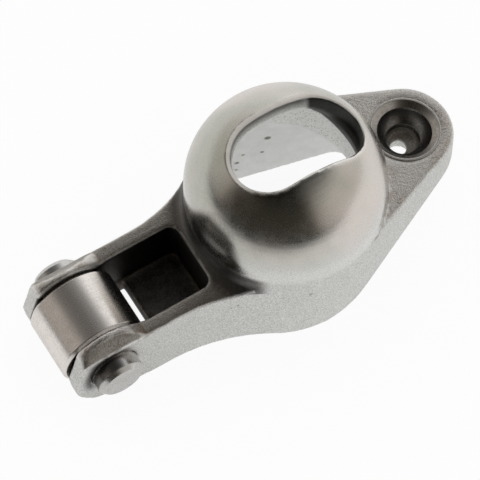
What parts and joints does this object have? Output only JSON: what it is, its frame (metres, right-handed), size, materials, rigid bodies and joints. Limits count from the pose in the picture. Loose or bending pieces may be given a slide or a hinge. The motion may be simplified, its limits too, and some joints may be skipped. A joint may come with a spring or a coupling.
{
  "type": "rocker arm",
  "caption": "Stud-mounted ball-pivot rocker arm with a hollow slotted dome, a push-rod cup at one end and a plain roller on a pressed axle pin at the other.",
  "frame": {"origin": "centre of the dome sphere, which is the pivot of the arm", "axes": "+X toward the push-rod cup, +Z out of the dome along the stud, +Y completes the right-handed frame; the open rim is below"},
  "size_m": [0.074, 0.0322, 0.0347],
  "materials": {
    "cast_steel": "bead-blasted cast steel, satin on the dome, rough on the rail tops",
    "ground_steel": "ground and hardened",
    "pin_steel": "ground, ends faced"
  },
  "bodies": {
    "arm": {"rocker_body": "cast_steel", "roller_pin": "pin_steel"},
    "roller": {"tip_roller": "ground_steel"}
  },
  "joints": [
    {"name": "roller_spin", "type": "hinge", "parent": "arm", "child": "roller", "pos_m": [-0.0366, 0, -0.0113], "axis": [0, 1, 0], "continuous": true}
  ]
}
